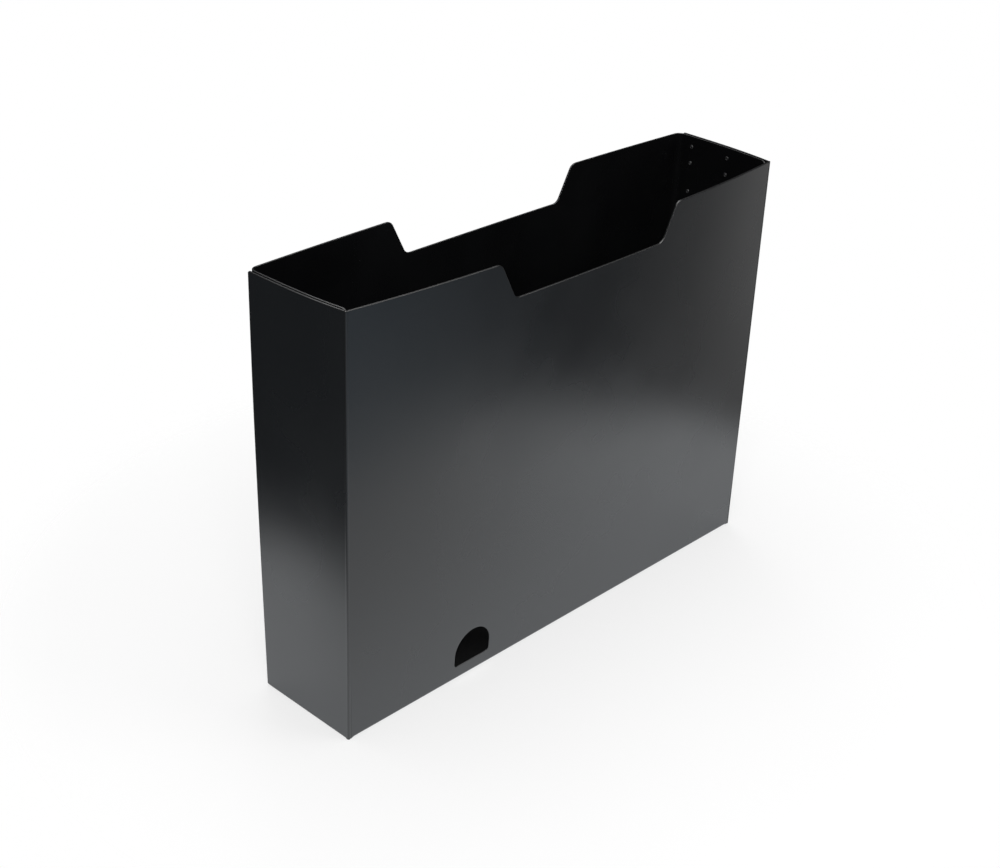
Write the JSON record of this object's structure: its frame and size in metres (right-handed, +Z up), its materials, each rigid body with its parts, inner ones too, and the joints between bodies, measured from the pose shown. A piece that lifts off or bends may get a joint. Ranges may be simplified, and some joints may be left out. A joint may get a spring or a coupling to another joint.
{
  "type": "open-top document box",
  "caption": "Upright open-topped box for flat documents, folded from one plastic sheet, with a notch in each long wall, a finger hole and double-layer ends.",
  "frame": {"origin": "middle of the underside, on the surface that the box stands on", "axes": "+X along the long walls, +Y from the front wall with the finger hole to the back wall, +Z up through the open top"},
  "size_m": [0.327, 0.0796, 0.24],
  "materials": {
    "black_polypropylene": "satin extruded sheet"
  },
  "bodies": {
    "root": {"folded_box": "black_polypropylene"}
  },
  "joints": []
}
